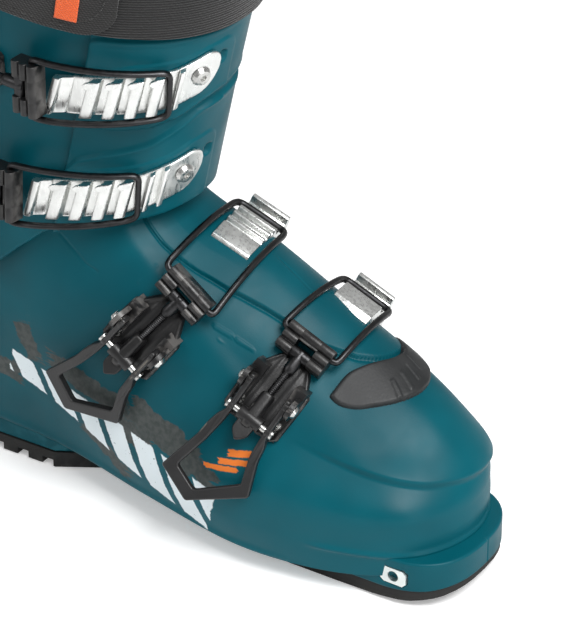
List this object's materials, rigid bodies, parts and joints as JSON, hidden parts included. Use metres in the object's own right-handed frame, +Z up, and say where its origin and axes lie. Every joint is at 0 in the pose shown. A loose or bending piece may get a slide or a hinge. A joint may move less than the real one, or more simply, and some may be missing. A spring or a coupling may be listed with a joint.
{
  "type": "alpine ski boot",
  "caption": "Right alpine ski boot with hinged cuff, walk mode, grip soles and micro-adjust lever buckles",
  "frame": {"origin": "on the ground, under the middle of the 305 mm sole length, on the sole centreline", "axes": "+X toward the toe, +Y to the inner (medial) side, +Z up"},
  "size_m": [0.3065, 0.1261, 0.3145],
  "materials": {
    "teal_shell": "satin",
    "black_plastic": "matte",
    "rubber": "matte",
    "steel": "satin",
    "alu": "satin",
    "foam_fabric": "woven",
    "strap_fabric": "woven",
    "grey_plastic": "matte"
  },
  "bodies": {
    "shell": {"lower_shell": "teal_shell", "toe_rubber_cover": "rubber", "toe_sole": "rubber", "heel_sole": "rubber", "toe_pin_insert": "steel", "heel_pin_insert": "steel", "sole_screws": "steel", "bootboard": "grey_plastic", "footbed": "grey_plastic", "liner_foot": "foam_fabric", "pivot_bolts": "steel", "lock_bar": "steel", "instep_catch": "alu", "toe_catch": "alu", "base_rivets_shell": "steel", "b3_base": "black_plastic", "b3_pivot_pins": "steel", "b4_base": "black_plastic", "b4_pivot_pins": "steel"},
    "cuff": {"cuff": "teal_shell", "rear_spoiler": "black_plastic", "liner_cuff": "foam_fabric", "liner_tongue": "foam_fabric", "power_strap": "strap_fabric", "strap_rivets": "steel", "upper_ladder": "alu", "lower_ladder": "alu", "ladder_screws": "steel", "base_rivets_cuff": "steel", "b1_base": "black_plastic", "b1_pivot_pins": "steel", "b2_base": "black_plastic", "b2_pivot_pins": "steel", "walk_pin": "steel"},
    "walk_lever": {"walk_lever": "black_plastic"},
    "b1_lever": {"b1_lever": "black_plastic", "b1_clevis_pin": "steel"},
    "b1_clevis": {"b1_clevis": "black_plastic"},
    "b1_rod": {"b1_rod": "steel", "b1_block": "black_plastic"},
    "b1_bail": {"b1_bail": "steel"},
    "b2_lever": {"b2_lever": "black_plastic", "b2_clevis_pin": "steel"},
    "b2_clevis": {"b2_clevis": "black_plastic"},
    "b2_rod": {"b2_rod": "steel", "b2_block": "black_plastic"},
    "b2_bail": {"b2_bail": "steel"},
    "b3_lever": {"b3_lever": "black_plastic", "b3_clevis_pin": "steel"},
    "b3_clevis": {"b3_clevis": "black_plastic"},
    "b3_rod": {"b3_rod": "steel", "b3_block": "black_plastic"},
    "b3_bail": {"b3_bail": "steel"},
    "b4_lever": {"b4_lever": "black_plastic", "b4_clevis_pin": "steel"},
    "b4_clevis": {"b4_clevis": "black_plastic"},
    "b4_rod": {"b4_rod": "steel", "b4_block": "black_plastic"},
    "b4_bail": {"b4_bail": "steel"}
  },
  "joints": [
    {"name": "cuff_pivot", "type": "hinge", "parent": "shell", "child": "cuff", "pos_m": [-0.084, 0, 0.122], "axis": [0, 1, 0], "range_deg": [-18, 2]},
    {"name": "walk_lever_hinge", "type": "hinge", "parent": "cuff", "child": "walk_lever", "pos_m": [-0.1396, 0, 0.176], "axis": [0, -1, 0], "range_deg": [0, 55]},
    {"name": "b1_lever_hinge", "type": "hinge", "parent": "cuff", "child": "b1_lever", "pos_m": [-0.07582, -0.05651, 0.21311], "axis": [0.0023, 0.0132, 0.9999], "range_deg": [0, 110]},
    {"name": "b1_clevis_hinge", "type": "hinge", "parent": "b1_lever", "child": "b1_clevis", "pos_m": [-0.08972, -0.05474, 0.21311], "axis": [0.0023, 0.0132, 0.9999], "range_deg": [-110, 0]},
    {"name": "b1_rod_thread", "type": "slide", "parent": "b1_clevis", "child": "b1_rod", "axis": [0.998, -0.0626, -0.0014], "range_m": [0, 0.004]},
    {"name": "b1_bail_hinge", "type": "hinge", "parent": "b1_rod", "child": "b1_bail", "pos_m": [-0.03906, -0.05792, 0.21304], "axis": [-0.0023, -0.0132, -0.9999], "range_deg": [0, 55]},
    {"name": "b2_lever_hinge", "type": "hinge", "parent": "cuff", "child": "b2_lever", "pos_m": [-0.09347, -0.05532, 0.15797], "axis": [0.0097, 0.0585, 0.9982], "range_deg": [0, 110]},
    {"name": "b2_clevis_hinge", "type": "hinge", "parent": "b2_lever", "child": "b2_clevis", "pos_m": [-0.10738, -0.05363, 0.15801], "axis": [0.0097, 0.0585, 0.9982], "range_deg": [-110, 0]},
    {"name": "b2_rod_thread", "type": "slide", "parent": "b2_clevis", "child": "b2_rod", "axis": [0.998, -0.0624, -0.006], "range_m": [0, 0.004]},
    {"name": "b2_bail_hinge", "type": "hinge", "parent": "b2_rod", "child": "b2_bail", "pos_m": [-0.05516, -0.05689, 0.1577], "axis": [-0.0097, -0.0585, -0.9982], "range_deg": [0, 55]},
    {"name": "b3_lever_hinge", "type": "hinge", "parent": "shell", "child": "b3_lever", "pos_m": [0.0036, -0.0475, 0.0994], "axis": [-0.8019, 0, 0.5974], "range_deg": [0, 110]},
    {"name": "b3_clevis_hinge", "type": "hinge", "parent": "b3_lever", "child": "b3_clevis", "pos_m": [-0.00474, -0.0488, 0.08821], "axis": [-0.8019, 0, 0.5974], "range_deg": [-110, 0]},
    {"name": "b3_rod_thread", "type": "slide", "parent": "b3_clevis", "child": "b3_rod", "axis": [0.5464, 0.4042, 0.7335], "range_m": [0, 0.004]},
    {"name": "b3_bail_hinge", "type": "hinge", "parent": "b3_rod", "child": "b3_bail", "pos_m": [0.01933, -0.031, 0.12051], "axis": [0.8019, 0, -0.5974], "range_deg": [0, 99]},
    {"name": "b4_lever_hinge", "type": "hinge", "parent": "shell", "child": "b4_lever", "pos_m": [0.0628, -0.035, 0.086], "axis": [-0.9011, -0.05, 0.4307], "range_deg": [0, 110]},
    {"name": "b4_clevis_hinge", "type": "hinge", "parent": "b4_lever", "child": "b4_clevis", "pos_m": [0.05789, -0.04203, 0.07491], "axis": [-0.9011, -0.05, 0.4307], "range_deg": [-110, 0]},
    {"name": "b4_rod_thread", "type": "slide", "parent": "b4_clevis", "child": "b4_rod", "axis": [0.244, 0.7627, 0.599], "range_m": [0, 0.004]},
    {"name": "b4_bail_hinge", "type": "hinge", "parent": "b4_rod", "child": "b4_bail", "pos_m": [0.06791, -0.01073, 0.0995], "axis": [0.9011, 0.05, -0.4307], "range_deg": [0, 99]}
  ],
  "couplings": [
    {"joint": "b1_clevis_hinge", "follows": "b1_lever_hinge", "ratio": -1},
    {"joint": "b1_bail_hinge", "follows": "b1_lever_hinge", "ratio": 0.5},
    {"joint": "b2_clevis_hinge", "follows": "b2_lever_hinge", "ratio": -1},
    {"joint": "b2_bail_hinge", "follows": "b2_lever_hinge", "ratio": 0.5},
    {"joint": "b3_clevis_hinge", "follows": "b3_lever_hinge", "ratio": -1},
    {"joint": "b3_bail_hinge", "follows": "b3_lever_hinge", "ratio": 0.9},
    {"joint": "b4_clevis_hinge", "follows": "b4_lever_hinge", "ratio": -1},
    {"joint": "b4_bail_hinge", "follows": "b4_lever_hinge", "ratio": 0.9}
  ]
}
